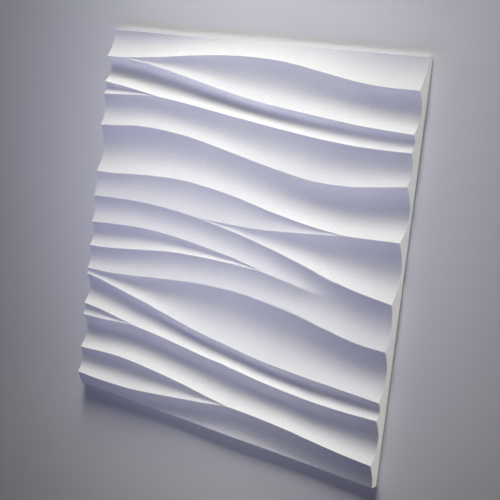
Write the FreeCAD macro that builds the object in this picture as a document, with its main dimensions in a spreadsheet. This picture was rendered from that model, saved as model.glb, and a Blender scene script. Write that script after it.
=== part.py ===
import FreeCAD, Part
import os
import Sketcher

# Wave relief wall panel, cast in one piece of white gypsum plaster.
# Frame: origin at the centre of the flat back, X along the waves, Y up the wall, Z out of the wall.
#
# The face is a stack of concave flutes that meet in sharp crests. Each flute is cut by one ruled
# loft through parabolas that stand at the stations: lines across the panel, of which the first and
# the last are its left and right edges. A station stands wherever a flute starts or ends in a tip
# between its neighbours, and between those so close that a crest turns by a few degrees at most.
# At every station the widths of the flutes fill the panel's height, so a crest lies where two
# flutes meet, and the bays between the stations fill the panel's width.

NODE = "wave_panel"

PANEL_SIZES = {
    "panel_width": 600.0,
    "panel_height": 600.0,
    "crest_height": 22.5,
    # The blank stands proud of the crests, and the cutters stand proud of the blank.
    "blank_spare": 0.2,
    "cutter_lift": 0.2,
    # Width of a cutter's top where its flute has run out to a tip.
    "tip_width": 3.0,
}

# Distances between the stations, from left to right.
BAYS = [38.0, 40.0, 40.0, 60.0, 59.0, 48.0, 47.0, 40.0, 68.0, 70.0, 45.0, 45.0]
LAST_STATION = len(BAYS)

# Flutes from top to bottom: their widths from crest to crest at the stations, 0 where there is no
# flute. A flute that starts or ends inside the panel has its tip at the station before its first
# width or after its last.
# The brow runs off the top edge and the foot off the bottom edge. They are the two parts of one
# flute that the panel shares with the panels above and below it, so the foot has the brow's depth.
BROW = "brow"
FOOT = "foot"
WIDTHS = {
    BROW: [44.8, 44.0, 41.0, 38.0, 31.0, 25.9, 23.9, 23.9, 26.2, 35.2, 44.3, 46.5, 46.2],
    "flute_b": [0, 0, 7.3, 15.6, 32.3, 47.6, 57.6, 63.8, 65.5, 62.0, 58.0, 57.3, 58.5],
    "flute_c": [40.6, 44.5, 45.3, 45.4, 40.2, 36.0, 32.8, 31.1, 31.0, 30.7, 28.8, 27.1, 24.5],
    "flute_d": [20.6, 14.9, 7.2, 0, 0, 0, 0, 0, 0, 0, 0, 0, 0],
    "flute_e": [51.2, 50.8, 49.5, 50.5, 49.3, 50.4, 53.3, 56.6, 58.6, 61.1, 56.7, 51.0, 46.0],
    "flute_f": [77.0, 78.2, 78.7, 76.2, 70.2, 65.6, 62.6, 61.9, 62.8, 63.4, 69.2, 72.5, 76.1],
    "flute_g": [41.4, 40.7, 42.1, 44.6, 49.0, 50.9, 45.6, 37.9, 28.7, 13.2, 0, 0, 0],
    "flute_h": [0, 0, 0, 0, 0, 0, 6.7, 14.5, 23.9, 44.5, 68.6, 78.0, 85.7],
    "flute_i": [44.0, 43.1, 42.3, 41.3, 40.5, 39.9, 38.9, 38.2, 38.3, 34.4, 0, 0, 0],
    "flute_j": [40.2, 40.6, 38.8, 35.4, 26.5, 18.8, 12.7, 6.3, 0, 0, 0, 0, 0],
    "flute_k": [39.0, 40.6, 42.3, 43.7, 44.4, 42.2, 41.0, 41.1, 42.6, 40.6, 71.0, 70.1, 66.6],
    "flute_l": [8.8, 15.0, 24.7, 35.4, 53.4, 70.1, 79.7, 85.5, 87.5, 84.7, 75.5, 71.4, 71.8],
    "flute_m": [51.2, 49.1, 47.0, 46.0, 39.5, 34.7, 32.6, 31.0, 30.5, 31.1, 31.1, 28.9, 25.6],
    "flute_n": [20.0, 15.9, 8.4, 0, 0, 0, 0, 0, 0, 0, 0, 0, 0],
    "flute_o": [56.4, 55.2, 56.0, 58.8, 58.7, 58.2, 59.2, 60.6, 56.9, 54.5, 57.6, 61.3, 64.9],
    "flute_p": [44.0, 47.1, 48.6, 46.9, 36.9, 24.3, 12.2, 0, 0, 0, 0, 0, 0],
    FOOT: [20.8, 20.3, 20.8, 22.2, 28.2, 35.3, 41.3, 47.6, 47.6, 44.6, 39.1, 35.9, 34.1],
}

# Depths of the flutes below the crests, by station. Between two given depths a flute's floor is
# straight.
DEPTHS = {
    BROW: {0: 12.1, 5: 12.0, 9: 12.5, 12: 12.0},
    "flute_b": {2: 1.6, 3: 3.2, 5: 8.4, 7: 11.0, 9: 11.8, 12: 12.1},
    "flute_c": {0: 12.1, 1: 13.2, 3: 12.5, 5: 11.8, 7: 10.0, 9: 8.0, 10: 6.8, 12: 5.8},
    "flute_d": {0: 5.2, 1: 3.8, 2: 1.9},
    "flute_e": {0: 6.9, 3: 8.5, 5: 8.8, 8: 8.0, 10: 8.5, 12: 7.5},
    "flute_f": {0: 11.3, 3: 11.5, 5: 9.7, 7: 9.7, 9: 13.3, 10: 14.5, 12: 16.0},
    "flute_g": {0: 3.2, 3: 3.5, 5: 4.1, 7: 3.5, 9: 1.8},
    "flute_h": {6: 1.2, 7: 2.3, 8: 3.8, 9: 8.3, 10: 12.3, 12: 14.0},
    "flute_i": {0: 4.7, 5: 4.5, 9: 5.0},
    "flute_j": {0: 7.1, 3: 6.3, 5: 3.8, 7: 1.4},
    "flute_k": {0: 5.2, 3: 5.0, 9: 5.5, 10: 8.8, 12: 7.5},
    "flute_l": {0: 1.7, 1: 3.2, 3: 7.2, 5: 10.3, 7: 11.5, 9: 11.8, 12: 11.3},
    "flute_m": {0: 10.0, 5: 9.7, 8: 9.8, 9: 10.0, 10: 8.6, 12: 6.0},
    "flute_n": {0: 3.5, 1: 2.9, 2: 1.6},
    "flute_o": {0: 12.6, 3: 13.3, 9: 12.9, 12: 12.0},
    "flute_p": {0: 7.6, 1: 9.0, 3: 9.2, 5: 4.5, 6: 2.2},
}

# One flute has no tip: the ridge between it and the next sinks, and it fades out in the floor of
# the next. At its last station both reach past their crest line. At the station after that, the
# inset is the distance from the crest above to its edge.
FADING = "flute_i"
JOINED = "flute_k"
FADE_SIZES = {
    "ridge_overlap": 6.0,
    "fade_inset": 0.5,
    "fade_width": 60.0,
    "fade_depth": 7.0,
}

RISE = "(sizes.blank_spare + sizes.cutter_lift)"


def width_name(flute, station):
    return f"{flute}_width_{station}"


def depth_name(flute, station):
    return f"{flute}_depth_{station}"


def stations_of(flute):
    """Numbers of the stations at which a flute has a width."""
    return [station for station, width in enumerate(WIDTHS[flute]) if width]


def add_sheet(doc):
    """The driving sizes, one row each: the name, and beside it the value under that alias."""
    sizes = {**PANEL_SIZES, **FADE_SIZES}
    for number, length in enumerate(BAYS):
        sizes[f"bay_{number}"] = length
    for flute, widths in WIDTHS.items():
        for station in stations_of(flute):
            sizes[width_name(flute, station)] = widths[station]
    for flute, depths in DEPTHS.items():
        for station, depth in depths.items():
            sizes[depth_name(flute, station)] = depth
    sheet = doc.addObject("Spreadsheet::Sheet", "sizes")
    for row, (name, value) in enumerate(sizes.items(), 1):
        sheet.set(f"A{row}", name)
        sheet.set(f"B{row}", str(value))
        sheet.setAlias(f"B{row}", name)
    doc.recompute()


def total(names):
    """Expression for the sum of some sizes."""
    return "(" + " + ".join(["0"] + [f"sizes.{name}" for name in names]) + ")"


def station_x(station):
    """Expression for the place of a station, measured from the middle of the panel."""
    bays = [f"bay_{number}" for number in range(LAST_STATION)]
    return f"(sizes.panel_width * ({total(bays[:station])} / {total(bays)} - 0.5))"


def depth_at(flute, station):
    """Expression for a flute's depth at a station, on the line between the nearest given depths."""
    given = DEPTHS[flute]
    if station in given:
        return f"sizes.{depth_name(flute, station)}"
    before = max(number for number in given if number < station)
    after = min(number for number in given if number > station)
    start = f"sizes.{depth_name(flute, before)}"
    end = f"sizes.{depth_name(flute, after)}"
    run = total(f"bay_{number}" for number in range(before, station))
    whole = total(f"bay_{number}" for number in range(before, after))
    return f"({start} + ({end} - {start}) * {run} / {whole})"


def widths_at(station):
    """Names of the widths that fill the panel's height at a station, from top to bottom."""
    return [width_name(flute, station) for flute in WIDTHS if station in stations_of(flute)]


def fitted(names, station):
    """Expression for the height that some of the widths at a station take up."""
    return f"(sizes.panel_height * {total(names)} / {total(widths_at(station))})"


def crest_above(flute, station):
    """Expression for the distance from the top edge down to the crest above a flute."""
    names = widths_at(station)
    return fitted(names[:names.index(width_name(flute, station))], station)


def crest_below(flute, station):
    """Expression for the distance from the top edge down to the crest below a flute."""
    names = widths_at(station)
    return fitted(names[:names.index(width_name(flute, station)) + 1], station)


class Section:
    """A parabola across the panel: where it stands, its axis, its cutter's width and its depth."""

    def __init__(self, along, down, top_width, depth):
        self.along = along
        self.down = down
        self.top_width = top_width
        self.depth = depth


def parabola(along, upper, lower, depth):
    """Section of a flute between two crest lines, which lie this far down from the top edge."""
    middle = f"(({upper} + {lower}) / 2)"
    return Section(along, middle, f"({lower} - {upper}) * sqrt(1 + {RISE} / {depth})", depth)


def station_section(flute, station):
    """Section of a flute where it fills the space between its neighbours."""
    upper = crest_above(flute, station)
    lower = crest_below(flute, station)
    if station == stations_of(FADING)[-1] and flute == FADING:
        lower = f"({lower} + sizes.ridge_overlap)"
    if station == stations_of(FADING)[-1] and flute == JOINED:
        upper = f"({upper} - sizes.ridge_overlap)"
    return parabola(station_x(station), upper, lower, depth_at(flute, station))


def tip_section(flute, station):
    """Section of no depth at a flute's tip, on the crest that its neighbours share there."""
    flutes = list(WIDTHS)
    above = flutes[flutes.index(flute) - 1]
    while station not in stations_of(above):
        above = flutes[flutes.index(above) - 1]
    return Section(station_x(station), crest_below(above, station), "sizes.tip_width", "0")


def fade_section(station):
    """Section where the fading flute has sunk into the floor of the next, below the same crest."""
    upper = f"({crest_above(JOINED, station)} + sizes.fade_inset)"
    lower = f"({upper} + sizes.fade_width)"
    return parabola(station_x(station), upper, lower, "sizes.fade_depth")


def edge_section(edge, station):
    """Section of the flute that a panel shares with its neighbours, at its top or bottom edge."""
    width = fitted([width_name(BROW, station), width_name(FOOT, station)], station)
    if edge == BROW:
        lower = crest_below(BROW, station)
        upper = f"({lower} - {width})"
    else:
        upper = crest_above(FOOT, station)
        lower = f"({upper} + {width})"
    return parabola(station_x(station), upper, lower, depth_at(BROW, station))


def flute_sections(flute):
    """All sections of one flute from left to right."""
    stations = stations_of(flute)
    if flute in (BROW, FOOT):
        return [edge_section(flute, station) for station in stations]
    sections = [station_section(flute, station) for station in stations]
    if stations[0] > 0:
        sections.insert(0, tip_section(flute, stations[0] - 1))
    if flute == FADING:
        sections.append(fade_section(stations[-1] + 1))
    elif stations[-1] < LAST_STATION:
        sections.append(tip_section(flute, stations[-1] + 1))
    return sections


def origin_plane(body, role):
    return next(plane for plane in body.Origin.OriginFeatures if plane.Role == role)


def add_blank(body):
    """The block that the flutes are cut from."""
    sketch = body.newObject("Sketcher::SketchObject", "outline")
    sketch.AttachmentSupport = [(origin_plane(body, "XY_Plane"), "")]
    sketch.MapMode = "FlatFace"
    half_width = PANEL_SIZES["panel_width"] / 2
    half_height = PANEL_SIZES["panel_height"] / 2
    corners = [
        FreeCAD.Vector(-half_width, -half_height, 0),
        FreeCAD.Vector(half_width, -half_height, 0),
        FreeCAD.Vector(half_width, half_height, 0),
        FreeCAD.Vector(-half_width, half_height, 0),
    ]
    for start, end in zip(corners, corners[1:] + corners[:1]):
        sketch.addGeometry(Part.LineSegment(start, end), False)
    for side in range(4):
        sketch.addConstraint(Sketcher.Constraint("Coincident", side, 2, (side + 1) % 4, 1))
    for side in (0, 2):
        sketch.addConstraint(Sketcher.Constraint("Horizontal", side))
        sketch.addConstraint(Sketcher.Constraint("Vertical", side + 1))
    sketch.addConstraint(Sketcher.Constraint("Symmetric", 0, 1, 1, 2, -1, 1))
    wide = sketch.addConstraint(Sketcher.Constraint("DistanceX", 0, 1, 0, 2, 2 * half_width))
    tall = sketch.addConstraint(Sketcher.Constraint("DistanceY", 1, 1, 1, 2, 2 * half_height))
    sketch.setExpression(f"Constraints[{wide}]", "sizes.panel_width * 1 mm")
    sketch.setExpression(f"Constraints[{tall}]", "sizes.panel_height * 1 mm")
    pad = body.newObject("PartDesign::Pad", "blank")
    pad.Profile = sketch
    pad.setExpression("Length", "(sizes.crest_height + sizes.blank_spare) * 1 mm")
    return pad


def add_section(body, name, section):
    """Sketch of one section: a parabola, open upwards, closed by a line at the cutter's top. It is
    drawn about its own axis at a starting size, and the attachment moves it to its place."""
    sketch = body.newObject("Sketcher::SketchObject", name)
    sketch.AttachmentSupport = [(origin_plane(body, "YZ_Plane"), "")]
    sketch.MapMode = "FlatFace"
    sketch.setExpression("AttachmentOffset.Base.x", f"(sizes.panel_height / 2 - {section.down}) * 1 mm")
    sketch.setExpression("AttachmentOffset.Base.z", f"{section.along} * 1 mm")
    focal_length = 10
    reach = 2 * focal_length
    vertex = FreeCAD.Vector(0, focal_length, 0)
    focus = FreeCAD.Vector(0, 2 * focal_length, 0)
    curve = Part.Parabola(focus, vertex, FreeCAD.Vector(0, 0, 1))
    arc = Part.ArcOfParabola(curve, -reach, reach)
    floor = sketch.addGeometry(arc, False)
    top = sketch.addGeometry(Part.LineSegment(arc.StartPoint, arc.EndPoint), False)
    sketch.exposeInternalGeometry(floor)
    axis = len(sketch.Geometry) - 1
    start, end, centre = 1, 2, 3
    vertical_axis = -2
    origin = -1
    sketch.addConstraint(Sketcher.Constraint("Coincident", floor, start, top, start))
    sketch.addConstraint(Sketcher.Constraint("Coincident", floor, end, top, end))
    sketch.addConstraint(Sketcher.Constraint("Horizontal", top))
    sketch.addConstraint(Sketcher.Constraint("Vertical", axis))
    sketch.addConstraint(Sketcher.Constraint("PointOnObject", floor, centre, vertical_axis))
    low = sketch.addConstraint(Sketcher.Constraint("DistanceY", origin, 1, floor, centre, vertex.y))
    high = sketch.addConstraint(Sketcher.Constraint("DistanceY", origin, 1, top, start, arc.StartPoint.y))
    across = abs(arc.EndPoint.x - arc.StartPoint.x)
    wide = sketch.addConstraint(Sketcher.Constraint("DistanceX", top, end, top, start, across))
    sketch.setExpression(f"Constraints[{low}]", f"(sizes.crest_height - {section.depth}) * 1 mm")
    sketch.setExpression(f"Constraints[{high}]", f"(sizes.crest_height + {RISE}) * 1 mm")
    sketch.setExpression(f"Constraints[{wide}]", f"{section.top_width} * 1 mm")
    return sketch


def cut_flute(body, flute, sections):
    """Cut one flute by a ruled loft through its sections."""
    sketches = [
        add_section(body, f"{flute}_section_{number}", section) for number, section in enumerate(sections)
    ]
    loft = body.newObject("PartDesign::SubtractiveLoft", f"cut_{flute}")
    loft.Profile = sketches[0]
    loft.Sections = sketches[1:]
    loft.Ruled = True
    return loft


def check(doc, body):
    """Stop before anything is written if a step of the model has failed."""
    for item in doc.Objects:
        if "Invalid" in item.State or "Error" in item.State:
            raise RuntimeError(f"{item.Name} failed: {item.State}")
    if body.Shape.isNull() or not body.Shape.isValid() or len(body.Shape.Solids) != 1:
        raise RuntimeError(f"{body.Label} isn't one valid solid")


def main():
    doc = FreeCAD.newDocument("wave_relief_wall_panel")
    add_sheet(doc)
    body = doc.addObject("PartDesign::Body", NODE)
    body.Label = NODE
    add_blank(body)
    for flute in WIDTHS:
        cut_flute(body, flute, flute_sections(flute))
    doc.recompute()
    check(doc, body)
    box = body.Shape.optimalBoundingBox(True, False)
    print(f"{NODE}: {box.XLength:.2f} x {box.YLength:.2f} x {box.ZLength:.2f} mm, "
          f"{body.Shape.Volume / 1e6:.3f} litres, {len(body.Shape.Faces)} faces")
    os.makedirs("parts", exist_ok=True)
    body.Shape.exportStep(os.path.join("parts", f"{NODE}.step"))


main()
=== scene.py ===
import math

import bmesh
import bpy
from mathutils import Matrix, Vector


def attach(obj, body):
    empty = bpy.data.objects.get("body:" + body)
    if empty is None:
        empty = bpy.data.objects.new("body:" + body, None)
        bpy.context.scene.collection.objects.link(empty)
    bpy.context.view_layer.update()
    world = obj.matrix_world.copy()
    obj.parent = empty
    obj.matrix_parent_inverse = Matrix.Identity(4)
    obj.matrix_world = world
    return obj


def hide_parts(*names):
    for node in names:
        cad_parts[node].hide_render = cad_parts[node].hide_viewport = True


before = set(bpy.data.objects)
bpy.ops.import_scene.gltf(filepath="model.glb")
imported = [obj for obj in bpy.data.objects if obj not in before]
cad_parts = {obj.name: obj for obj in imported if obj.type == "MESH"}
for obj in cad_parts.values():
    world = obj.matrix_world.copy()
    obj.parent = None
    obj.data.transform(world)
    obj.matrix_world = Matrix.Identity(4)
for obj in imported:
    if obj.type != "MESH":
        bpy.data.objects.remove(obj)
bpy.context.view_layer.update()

MM = 0.001

# The panel, in millimetres: the same sizes as the solid's. The stations are lines across the panel
# where widths and depths are given, and the bays are the distances between them.
SIDE = 600.0
HALF = SIDE / 2
CREST = 22.5
BAYS = [38.0, 40.0, 40.0, 60.0, 59.0, 48.0, 47.0, 40.0, 68.0, 70.0, 45.0, 45.0]
STATIONS = [sum(BAYS[:number]) for number in range(len(BAYS) + 1)]

# Widths of the flutes at the stations, from the station where each starts. The flutes stand in
# order from the top edge, which cuts through the brow, to the bottom edge, which cuts the foot.
FIRST_STATIONS = {"b": 2, "h": 6}
WIDTHS = {
    "brow": [44.8, 44.0, 41.0, 38.0, 31.0, 25.9, 23.9, 23.9, 26.2, 35.2, 44.3, 46.5, 46.2],
    "b": [7.3, 15.6, 32.3, 47.6, 57.6, 63.8, 65.5, 62.0, 58.0, 57.3, 58.5],
    "c": [40.6, 44.5, 45.3, 45.4, 40.2, 36.0, 32.8, 31.1, 31.0, 30.7, 28.8, 27.1, 24.5],
    "d": [20.6, 14.9, 7.2],
    "e": [51.2, 50.8, 49.5, 50.5, 49.3, 50.4, 53.3, 56.6, 58.6, 61.1, 56.7, 51.0, 46.0],
    "f": [77.0, 78.2, 78.7, 76.2, 70.2, 65.6, 62.6, 61.9, 62.8, 63.4, 69.2, 72.5, 76.1],
    "g": [41.4, 40.7, 42.1, 44.6, 49.0, 50.9, 45.6, 37.9, 28.7, 13.2],
    "h": [6.7, 14.5, 23.9, 44.5, 68.6, 78.0, 85.7],
    "i": [44.0, 43.1, 42.3, 41.3, 40.5, 39.9, 38.9, 38.2, 38.3, 34.4],
    "j": [40.2, 40.6, 38.8, 35.4, 26.5, 18.8, 12.7, 6.3],
    "k": [39.0, 40.6, 42.3, 43.7, 44.4, 42.2, 41.0, 41.1, 42.6, 40.6, 71.0, 70.1, 66.6],
    "l": [8.8, 15.0, 24.7, 35.4, 53.4, 70.1, 79.7, 85.5, 87.5, 84.7, 75.5, 71.4, 71.8],
    "m": [51.2, 49.1, 47.0, 46.0, 39.5, 34.7, 32.6, 31.0, 30.5, 31.1, 31.1, 28.9, 25.6],
    "n": [20.0, 15.9, 8.4],
    "o": [56.4, 55.2, 56.0, 58.8, 58.7, 58.2, 59.2, 60.6, 56.9, 54.5, 57.6, 61.3, 64.9],
    "p": [44.0, 47.1, 48.6, 46.9, 36.9, 24.3, 12.2],
    "foot": [20.8, 20.3, 20.8, 22.2, 28.2, 35.3, 41.3, 47.6, 47.6, 44.6, 39.1, 35.9, 34.1],
}
FLUTES = list(WIDTHS)

# Depths of the flutes' floors below the crests, by number of station. The foot is as deep as the
# brow, because the two are parts of one flute.
DEPTHS = {
    "brow": {0: 12.1, 5: 12.0, 9: 12.5, 12: 12.0},
    "b": {2: 1.6, 3: 3.2, 5: 8.4, 7: 11.0, 9: 11.8, 12: 12.1},
    "c": {0: 12.1, 1: 13.2, 3: 12.5, 5: 11.8, 7: 10.0, 9: 8.0, 10: 6.8, 12: 5.8},
    "d": {0: 5.2, 1: 3.8, 2: 1.9},
    "e": {0: 6.9, 3: 8.5, 5: 8.8, 8: 8.0, 10: 8.5, 12: 7.5},
    "f": {0: 11.3, 3: 11.5, 5: 9.7, 7: 9.7, 9: 13.3, 10: 14.5, 12: 16.0},
    "g": {0: 3.2, 3: 3.5, 5: 4.1, 7: 3.5, 9: 1.8},
    "h": {6: 1.2, 7: 2.3, 8: 3.8, 9: 8.3, 10: 12.3, 12: 14.0},
    "i": {0: 4.7, 5: 4.5, 9: 5.0, 10: 7.0},
    "j": {0: 7.1, 3: 6.3, 5: 3.8, 7: 1.4},
    "k": {0: 5.2, 3: 5.0, 9: 5.5, 10: 8.8, 12: 7.5},
    "l": {0: 1.7, 1: 3.2, 3: 7.2, 5: 10.3, 7: 11.5, 9: 11.8, 12: 11.3},
    "m": {0: 10.0, 5: 9.7, 8: 9.8, 9: 10.0, 10: 8.6, 12: 6.0},
    "n": {0: 3.5, 1: 2.9, 2: 1.6},
    "o": {0: 12.6, 3: 13.3, 9: 12.9, 12: 12.0},
    "p": {0: 7.6, 1: 9.0, 3: 9.2, 5: 4.5, 6: 2.2},
}

# The ridge between these two starts to sink at the first of its stations, has sunk at the second
# and is gone at the last, where the fading flute ends in the floor of the joined one. Where it
# sinks, the sections of the two overlap and its top is rounded by a share of that overlap. At the
# last station the fading flute has the fade width, and starts the inset away from the crest above.
FADING = "i"
JOINED = "k"
RIDGE_STATIONS = (8, 9, 10)
RIDGE_START, RIDGE_SUNK, RIDGE_END = (STATIONS[number] for number in RIDGE_STATIONS)
RIDGE_OVERLAP = 6.0
RIDGE_ROUNDING = 0.16
FADE_INSET = 0.5
FADE_WIDTH = 60.0

# Surface detail of the casting, in millimetres: the rubbed crests and the broken edges.
CREST_SOFTNESS = 0.14
RIM = 0.35

# The mesh. Its columns stand at most this many millimetres apart, and its rows at these shares of
# a flute's width, closest at the crests. The crests' lightening, partly rub and partly a painted
# highlight, fades out over the first few rows from a crest. A flute narrower than the closed width
# has ended in its tip.
COLUMN_STEP = 4.0
HALF_ROWS = [0.0, 0.006, 0.014, 0.03, 0.06, 0.105, 0.16, 0.22, 0.29, 0.36, 0.43, 0.5]
ROWS = HALF_ROWS + [1 - row for row in reversed(HALF_ROWS[:-1])]
RUB_AND_HIGHLIGHT_ROWS = 3
CLOSED_WIDTH = 1e-6

# Points closer than this are one, edges shorter than this go (metres), and a bend past this angle
# (degrees) is shaded as a sharp edge.
MERGE_DISTANCE = 1e-6
SHORTEST_EDGE = 1e-7
SHARP_ANGLE = 35.0


def smooth_curve(knots, values):
    """Function that runs smoothly through the values, and stays level outside the knots."""
    gaps = [b - a for a, b in zip(knots, knots[1:])]
    rates = [(b - a) / gap for a, b, gap in zip(values, values[1:], gaps)]
    slopes = [rates[0]]
    for before, after, gap_before, gap_after in zip(rates, rates[1:], gaps, gaps[1:]):
        slopes.append((before * gap_after + after * gap_before) / (gap_before + gap_after))
    slopes.append(rates[-1])

    def value(x):
        if x <= knots[0]:
            return values[0]
        if x >= knots[-1]:
            return values[-1]
        span = next(number for number, knot in enumerate(knots[1:]) if x <= knot)
        gap = gaps[span]
        u = (x - knots[span]) / gap
        return (
            values[span] * (1 + 2 * u) * (1 - u) ** 2
            + slopes[span] * gap * u * (1 - u) ** 2
            + values[span + 1] * u * u * (3 - 2 * u)
            + slopes[span + 1] * gap * u * u * (u - 1)
        )

    return value


def width_curve(flute):
    """Width of a flute along the panel; it is nothing beyond its tips."""
    first = FIRST_STATIONS.get(flute, 0)
    numbers = list(range(first, first + len(WIDTHS[flute])))
    widths = list(WIDTHS[flute])
    if numbers[0] > 0:
        numbers.insert(0, numbers[0] - 1)
        widths.insert(0, 0.0)
    if numbers[-1] < len(BAYS) and flute != FADING:
        numbers.append(numbers[-1] + 1)
        widths.append(0.0)
    return smooth_curve([STATIONS[number] for number in numbers], widths)


def depth_curve(flute):
    """Depth of a flute's floor below its crests along the panel; it is nothing at its tips."""
    given = dict(DEPTHS[flute])
    first, last = min(given), max(given)
    if first > 0:
        given[first - 1] = 0.0
    if last < len(BAYS) and flute != FADING:
        given[last + 1] = 0.0
    numbers = sorted(given)
    depths = [given[number] for number in numbers]
    return smooth_curve([STATIONS[number] for number in numbers], depths)


def both_curve():
    """Width of the fading and the joined flute together, along the whole panel."""
    pair = (WIDTHS[FADING], WIDTHS[JOINED])
    sums = [
        sum(widths[number] for widths in pair if number < len(widths))
        for number in range(len(STATIONS))
    ]
    return smooth_curve(STATIONS, sums)


WIDTH_AT = {flute: width_curve(flute) for flute in FLUTES}
DEPTH_AT = {flute: depth_curve(flute) for flute in DEPTHS}
DEPTH_AT["foot"] = DEPTH_AT["brow"]
BOTH_AT = both_curve()
OVERLAP_AT = smooth_curve([RIDGE_START, RIDGE_SUNK], [0.0, RIDGE_OVERLAP])


def joined_widths(x):
    """Widths of the fading and the joined flute, which share one smooth width all along the panel."""
    both = BOTH_AT(x)
    if x <= RIDGE_SUNK:
        fading = WIDTH_AT[FADING](x)
    else:
        fading = both * WIDTHS[FADING][-1] / BOTH_AT(RIDGE_SUNK)
    return fading, both - fading


def flute_lines(x):
    """Distances from the top edge down to the lines between the flutes, at a place along them."""
    widths = [max(WIDTH_AT[flute](x), 0.0) for flute in FLUTES]
    widths[FLUTES.index(FADING)], widths[FLUTES.index(JOINED)] = joined_widths(x)
    scale = SIDE / sum(widths)
    lines = [0.0]
    for width in widths:
        lines.append(lines[-1] + width * scale)
    return lines


def softened(drop):
    """Drop below the crest line, with the sharp crest rubbed to a small round."""
    return math.sqrt(drop * drop + CREST_SOFTNESS ** 2)


def bowl(down, upper, lower, depth):
    """Drop of a flute between two crest lines, at a distance down from the top edge."""
    across = (down - upper) / (lower - upper)
    return 4 * depth * across * (1 - across)


def joined_drop(x, down, upper, ridge, lower):
    """Drop on both sides of the sinking ridge: the deeper of the two flutes, with a soft change."""
    if x >= RIDGE_END:
        return softened(bowl(down, upper, lower, DEPTH_AT[JOINED](x)))
    overlap = OVERLAP_AT(x)
    share = max(x - RIDGE_SUNK, 0.0) / (RIDGE_END - RIDGE_SUNK)
    fading_upper = upper + FADE_INSET * share
    fading_lower = (ridge + overlap) * (1 - share) + (upper + FADE_INSET + FADE_WIDTH) * share
    joined_upper = (ridge - overlap) * (1 - share) + upper * share
    fading = bowl(down, fading_upper, fading_lower, DEPTH_AT[FADING](x))
    joined = bowl(down, joined_upper, lower, DEPTH_AT[JOINED](x))
    softness = CREST_SOFTNESS + RIDGE_ROUNDING * overlap
    deeper = 0.5 * (fading + joined + math.sqrt((fading - joined) ** 2 + softness ** 2))
    return softened(max(deeper - 0.5 * softness, 0.0))


def flute_drop(x, flute, down, upper, lower, module):
    """Drop inside one flute; the brow and the foot are the two parts of a flute as wide as module."""
    if flute == "brow":
        return softened(bowl(down, lower - module, lower, DEPTH_AT[flute](x)))
    if flute == "foot":
        return softened(bowl(down, upper, upper + module, DEPTH_AT[flute](x)))
    return softened(bowl(down, upper, lower, DEPTH_AT[flute](x)))


def column(x):
    """Points of the relief across the panel at one place along the flutes."""
    lines = flute_lines(x)
    module = lines[1] + SIDE - lines[-2]
    first = FLUTES.index(FADING)
    last = FLUTES.index(JOINED)
    points = []
    for number, flute in enumerate(FLUTES):
        upper, lower = lines[number], lines[number + 1]
        for row in ROWS[:-1]:
            down = upper + (lower - upper) * row
            if first <= number <= last and x > RIDGE_START:
                drop = joined_drop(x, down, lines[first], lines[last], lines[last + 1])
            elif lower - upper < CLOSED_WIDTH:
                drop = CREST_SOFTNESS
            else:
                drop = flute_drop(x, flute, down, upper, lower, module)
            points.append((down, CREST - drop))
    foot_drop = flute_drop(x, "foot", SIDE, lines[-2], lines[-1], module)
    points.append((SIDE, CREST - foot_drop))
    return points


def column_places():
    """Places along the flutes where a column of points stands."""
    places = [0.0, RIM]
    for start, bay in zip(STATIONS, BAYS):
        steps = math.ceil(bay / COLUMN_STEP)
        places += [start + bay * step / steps for step in range(1, steps)]
        places.append(start + bay)
    places.insert(-1, SIDE - RIM)
    return places


def add_relief(mesh):
    """The relief, with its outermost points lowered so that the edges are broken."""
    crest_layer = mesh.verts.layers.float.new("crest")
    rows_per_flute = len(ROWS) - 1
    edge_rows = (0, rows_per_flute * len(FLUTES))
    grid = []
    for place in column_places():
        verts = []
        for number, (down, height) in enumerate(column(place)):
            if place in (0.0, SIDE) or number in edge_rows:
                height -= RIM
            vert = mesh.verts.new(((place - HALF) * MM, (HALF - down) * MM, height * MM))
            inside = number % rows_per_flute
            nearest = min(inside, rows_per_flute - inside)
            vert[crest_layer] = max(0.0, 1.0 - nearest / RUB_AND_HIGHLIGHT_ROWS)
            verts.append(vert)
        grid.append(verts)
    for left, right in zip(grid, grid[1:]):
        for number in range(len(left) - 1):
            mesh.faces.new((left[number], left[number + 1], right[number + 1], right[number]))
    bmesh.ops.remove_doubles(mesh, verts=mesh.verts[:], dist=MERGE_DISTANCE)
    bmesh.ops.dissolve_degenerate(mesh, edges=mesh.edges[:], dist=SHORTEST_EDGE)


def add_sides(mesh):
    """The four sides and the broken edge round the back; returns the open rim round the back."""
    rim = [edge for edge in mesh.edges if edge.is_boundary]
    for height, inset in ((RIM, 0.0), (0.0, RIM)):
        made = bmesh.ops.extrude_edge_only(mesh, edges=rim)["geom"]
        for vert in (item for item in made if isinstance(item, bmesh.types.BMVert)):
            vert.co.z = height * MM
            limit = (HALF - inset) * MM
            vert.co.x = min(max(vert.co.x, -limit), limit)
            vert.co.y = min(max(vert.co.y, -limit), limit)
        rim = [item for item in made if isinstance(item, bmesh.types.BMEdge) and item.is_boundary]
    return rim


def casting():
    """Mesh of the whole casting: relief and sides in the first material, flat back in the second."""
    mesh = bmesh.new()
    add_relief(mesh)
    back = bmesh.ops.holes_fill(mesh, edges=add_sides(mesh))["faces"]
    for face in mesh.faces:
        face.smooth = True
    for face in back:
        face.material_index = 1
    bmesh.ops.recalc_face_normals(mesh, faces=mesh.faces[:])
    data = bpy.data.meshes.new("plaster_relief")
    mesh.to_mesh(data)
    mesh.free()
    data.set_sharp_from_angle(angle=math.radians(SHARP_ANGLE))
    return data


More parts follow.
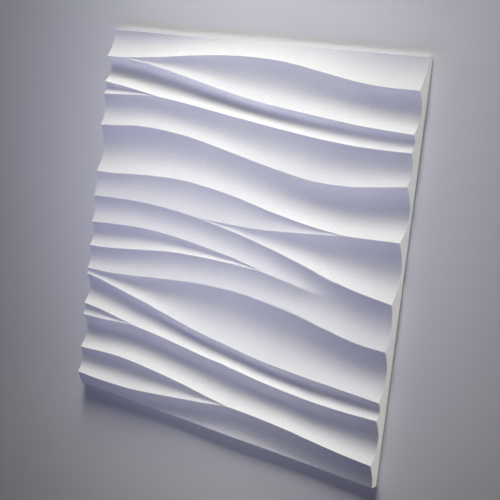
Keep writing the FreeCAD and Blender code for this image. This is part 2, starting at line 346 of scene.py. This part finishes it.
class Nodes:
    """Short names for building a material's nodes."""

    def __init__(self, name):
        self.material = bpy.data.materials.new(name)
        self.material.use_nodes = True
        self.tree = self.material.node_tree
        self.shader = self.tree.nodes["Principled BSDF"]
        self.place = self.tree.nodes.new("ShaderNodeTexCoord").outputs["Object"]

    def link(self, source, target):
        """Joins a node's output to an input."""
        self.tree.links.new(source, target)

    def noise(self, scale, detail=3.0, roughness=0.5, stretch=(1.0, 1.0, 1.0)):
        """Noise between 0 and 1; a stretch below 1 draws it out along that axis."""
        mapping = self.tree.nodes.new("ShaderNodeMapping")
        mapping.inputs["Scale"].default_value = stretch
        self.link(self.place, mapping.inputs["Vector"])
        node = self.tree.nodes.new("ShaderNodeTexNoise")
        node.inputs["Scale"].default_value = scale
        node.inputs["Detail"].default_value = detail
        node.inputs["Roughness"].default_value = roughness
        self.link(mapping.outputs["Vector"], node.inputs["Vector"])
        return node.outputs["Fac"]

    def ramp(self, source, low, high, start=0.0, end=1.0):
        """Value that runs from start to end while the source runs from low to high."""
        node = self.tree.nodes.new("ShaderNodeMapRange")
        node.inputs["From Min"].default_value = low
        node.inputs["From Max"].default_value = high
        node.inputs["To Min"].default_value = start
        node.inputs["To Max"].default_value = end
        self.link(source, node.inputs["Value"])
        return node.outputs["Result"]

    def maths(self, operation, first, second):
        """Result of one operation on two values, each a number or a node's output."""
        node = self.tree.nodes.new("ShaderNodeMath")
        node.operation = operation
        for socket, value in zip(node.inputs, (first, second)):
            if isinstance(value, float):
                socket.default_value = value
            else:
                self.link(value, socket)
        return node.outputs["Value"]

    def tint(self, factor, first, second):
        """Mix of two colours, each a tuple or a node's output."""
        node = self.tree.nodes.new("ShaderNodeMix")
        node.data_type = "RGBA"
        self.link(factor, node.inputs["Factor"])
        for name, value in (("A", first), ("B", second)):
            socket = next(item for item in node.inputs if item.name == name and item.type == "RGBA")
            if isinstance(value, tuple):
                socket.default_value = (*value, 1.0)
            else:
                self.link(value, socket)
        return next(item for item in node.outputs if item.type == "RGBA")

    def bump(self, height, millimetres, below=None):
        """Normal bent by a height between 0 and 1 that stands for this many millimetres."""
        node = self.tree.nodes.new("ShaderNodeBump")
        node.inputs["Distance"].default_value = millimetres * MM
        node.inputs["Strength"].default_value = 1.0
        self.link(height, node.inputs["Height"])
        if below is not None:
            self.link(below, node.inputs["Normal"])
        return node.outputs["Normal"]


# Colours and shine of the plaster and the floor. Pinholes show where the noise of their patches is
# above a level, and take on a share of a darker colour: painted shade inside the pits.
FACE_DULL = (0.78, 0.78, 0.785)
FACE_CLEAN = (0.82, 0.82, 0.82)
FACE_DUST = (0.73, 0.73, 0.735)
FACE_RUB_AND_HIGHLIGHT = (0.85, 0.85, 0.845)
FACE_SHINE = 0.35
PINHOLE_PAINTED_SHADE = (0.55, 0.55, 0.56)
PINHOLE_SHADE_SHARE = 0.35
PINHOLE_LEVEL = 0.62
BACK_DULL = (0.72, 0.72, 0.71)
BACK_CLEAN = (0.82, 0.82, 0.81)
FLOOR_DARK = (0.66, 0.66, 0.675)
FLOOR_LIGHT = (0.69, 0.69, 0.705)
FLOOR_ROUGHNESS = 0.6

# Scales of the noises, in cycles per metre.
MOTTLE_SCALE = 9.0
CLOUD_SCALE = 38.0
SPECKLE_SCALE = 430.0
GRAIN_SCALE = 1400.0
PINHOLE_SCALE = 95.0
PINHOLE_PATCHES_SCALE = 21.0
DRAG_SCALE = 60.0
BACK_CLOUD_SCALE = 14.0
OPEN_GRAIN_SCALE = 700.0
FLOOR_CLOUD_SCALE = 1.4


def plaster_face():
    """Fine white plaster: soft mottling, powdery speckle, fine grain, air pinholes with painted
    shade, crests lightened partly by rubbed wear and partly by a painted highlight.
    """
    nodes = Nodes("plaster_face")
    mottle = nodes.noise(MOTTLE_SCALE, detail=4.0)
    cloud = nodes.noise(CLOUD_SCALE, detail=5.0, roughness=0.6)
    grain = nodes.noise(GRAIN_SCALE, detail=2.0)
    speckle = nodes.noise(SPECKLE_SCALE, detail=2.0, roughness=0.6)
    tone = nodes.ramp(nodes.maths("ADD", mottle, cloud), low=0.7, high=1.3)
    colour = nodes.tint(tone, FACE_DULL, FACE_CLEAN)
    dust = nodes.ramp(speckle, low=0.35, high=0.65, end=0.65)
    colour = nodes.tint(dust, colour, FACE_DUST)
    # The crests are lightened near their lines: partly rubbed wear, partly a painted highlight.
    crest = nodes.tree.nodes.new("ShaderNodeAttribute")
    crest.attribute_name = "crest"
    patchy = nodes.ramp(cloud, low=0.4, high=0.6, start=0.3, end=0.9)
    rub_and_highlight = nodes.maths("MULTIPLY", crest.outputs["Fac"], patchy)
    colour = nodes.tint(rub_and_highlight, colour, FACE_RUB_AND_HIGHLIGHT)
    pits = nodes.tree.nodes.new("ShaderNodeTexVoronoi")
    pits.inputs["Scale"].default_value = PINHOLE_SCALE
    nodes.link(nodes.place, pits.inputs["Vector"])
    patches = nodes.noise(PINHOLE_PATCHES_SCALE, detail=1.0)
    picked = nodes.maths("GREATER_THAN", patches, PINHOLE_LEVEL)
    pinhole = nodes.ramp(pits.outputs["Distance"], low=0.03, high=0.07, start=1.0, end=0.0)
    hollow = nodes.maths("MULTIPLY", pinhole, picked)
    # Painted shade: the picked pinholes take on a share of a darker colour, as shade inside the pits.
    colour = nodes.tint(nodes.maths("MULTIPLY", hollow, PINHOLE_SHADE_SHARE), colour, PINHOLE_PAINTED_SHADE)
    nodes.link(colour, nodes.shader.inputs["Base Color"])
    roughness = nodes.ramp(cloud, low=0.3, high=0.7, start=0.58, end=0.72)
    nodes.link(roughness, nodes.shader.inputs["Roughness"])
    normal = nodes.bump(grain, millimetres=0.02)
    normal = nodes.bump(speckle, millimetres=0.16, below=normal)
    normal = nodes.bump(cloud, millimetres=0.10, below=normal)
    normal = nodes.bump(nodes.maths("SUBTRACT", 1.0, hollow), millimetres=0.3, below=normal)
    nodes.link(normal, nodes.shader.inputs["Normal"])
    nodes.shader.inputs["Specular IOR Level"].default_value = FACE_SHINE
    return nodes.material


def plaster_back():
    """The flat back, struck off level while wet: greyer, with long drag marks and open grain."""
    nodes = Nodes("plaster_back")
    drag = nodes.noise(DRAG_SCALE, detail=6.0, roughness=0.65, stretch=(0.08, 1.0, 1.0))
    cloud = nodes.noise(BACK_CLOUD_SCALE, detail=4.0)
    grain = nodes.noise(OPEN_GRAIN_SCALE, detail=3.0)
    tone = nodes.ramp(nodes.maths("ADD", drag, cloud), low=0.7, high=1.3)
    nodes.link(nodes.tint(tone, BACK_DULL, BACK_CLEAN), nodes.shader.inputs["Base Color"])
    roughness = nodes.ramp(drag, low=0.3, high=0.7, start=0.75, end=0.9)
    nodes.link(roughness, nodes.shader.inputs["Roughness"])
    normal = nodes.bump(drag, millimetres=0.5)
    normal = nodes.bump(grain, millimetres=0.08, below=normal)
    nodes.link(normal, nodes.shader.inputs["Normal"])
    return nodes.material


def floor_finish():
    """Plain pale studio floor with a faint, slow change of tone."""
    nodes = Nodes("studio_floor")
    tone = nodes.ramp(nodes.noise(FLOOR_CLOUD_SCALE, detail=3.0), low=0.3, high=0.7)
    nodes.link(nodes.tint(tone, FLOOR_DARK, FLOOR_LIGHT), nodes.shader.inputs["Base Color"])
    nodes.shader.inputs["Roughness"].default_value = FLOOR_ROUGHNESS
    return nodes.material


def add_panel():
    """The panel with its finish, in the place of the plain solid."""
    data = casting()
    data.materials.append(plaster_face())
    data.materials.append(plaster_back())
    piece = bpy.data.objects.new("plaster_relief", data)
    bpy.context.scene.collection.objects.link(piece)
    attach(piece, "root")
    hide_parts("wave_panel")


# The floor, in metres. It lies a hair below the panel's back, so that the two faces don't mix.
FLOOR_SIZE = 12.0
FLOOR_DROP = 0.0002


def add_floor():
    """A square floor under the panel, which isn't part of it."""
    mesh = bmesh.new()
    bmesh.ops.create_grid(mesh, x_segments=4, y_segments=4, size=FLOOR_SIZE / 2)
    data = bpy.data.meshes.new("studio_floor")
    mesh.to_mesh(data)
    mesh.free()
    data.materials.append(floor_finish())
    floor = bpy.data.objects.new("studio_floor", data)
    floor.location.z = -FLOOR_DROP
    bpy.context.scene.collection.objects.link(floor)


# Square soft lights: place and the point each is aimed at (metres), size (metres), beam angle
# (degrees), power (watts) and colour. Most of the light comes low over the panel's top edge, the
# side light shows its right end face, and the rest fills the shaded flanks of the flutes.
LIGHTS = {
    "key": ((0.0, 4.5, 1.12), (0.0, 0.0, 0.0), 1.0, 180.0, 122.0, (1.0, 0.99, 0.98)),
    "key_near": ((0.0, 2.0, 0.9), (0.0, -0.1, 0.0), 0.5, 35.0, 1.5, (1.0, 0.98, 0.88)),
    "fill": ((0.0, -1.1, 1.0), (0.0, 1.5, 0.0), 0.5, 65.0, 2.35, (0.66, 0.67, 1.0)),
    "fill_left": ((-0.9, -1.3, 0.7), (0.2, 1.2, 0.0), 0.5, 50.0, 0.57, (0.56, 0.56, 1.0)),
    "fill_far": ((0.0, -2.4, 0.9), (0.0, 0.96, 0.0), 0.25, 18.0, 0.2, (0.95, 1.0, 0.62)),
    "top": ((0.0, 0.2, 1.8), (0.0, 0.0, 0.0), 0.6, 35.0, 0.27, (0.60, 0.60, 1.0)),
    "side": ((2.8, -0.2, 0.13), (0.0, 0.0, 0.0), 0.24, 180.0, 27.0, (1.0, 0.99, 0.93)),
}
SKY_COLOUR = (0.72, 0.74, 1.0)
SKY_STRENGTH = 0.002


def add_lights():
    """The studio's lights and its faint sky."""
    for name, (place, aim, size, beam, power, colour) in LIGHTS.items():
        data = bpy.data.lights.new(name, "AREA")
        data.size = size
        data.spread = math.radians(beam)
        data.energy = power
        data.color = colour
        light = bpy.data.objects.new(name, data)
        light.location = place
        light.rotation_euler = (Vector(aim) - Vector(place)).to_track_quat("-Z", "Y").to_euler()
        bpy.context.scene.collection.objects.link(light)
    world = bpy.data.worlds.new("studio")
    world.use_nodes = True
    sky = world.node_tree.nodes["Background"]
    sky.inputs["Color"].default_value = (*SKY_COLOUR, 1.0)
    sky.inputs["Strength"].default_value = SKY_STRENGTH
    bpy.context.scene.world = world
    bpy.context.scene.view_settings.view_transform = "Standard"


# The camera at the photo's viewing angle: place in metres, turns about x, y and z in degrees, and
# lens and sensor width in millimetres.
CAMERA_PLACE = (1.12207, 0.24487, 1.3706)
CAMERA_ANGLES = (-3.0851, 39.2862, 8.2683)
CAMERA_LENS = 84.2
SENSOR = 36.0


def add_camera():
    """The camera, solved from the panel's corners and edges in the photo."""
    data = bpy.data.cameras.new("view")
    data.lens = CAMERA_LENS
    data.sensor_width = SENSOR
    camera = bpy.data.objects.new("view", data)
    camera.location = CAMERA_PLACE
    camera.rotation_euler = [math.radians(angle) for angle in CAMERA_ANGLES]
    bpy.context.scene.collection.objects.link(camera)
    bpy.context.scene.camera = camera


add_panel()
add_floor()
add_lights()
add_camera()
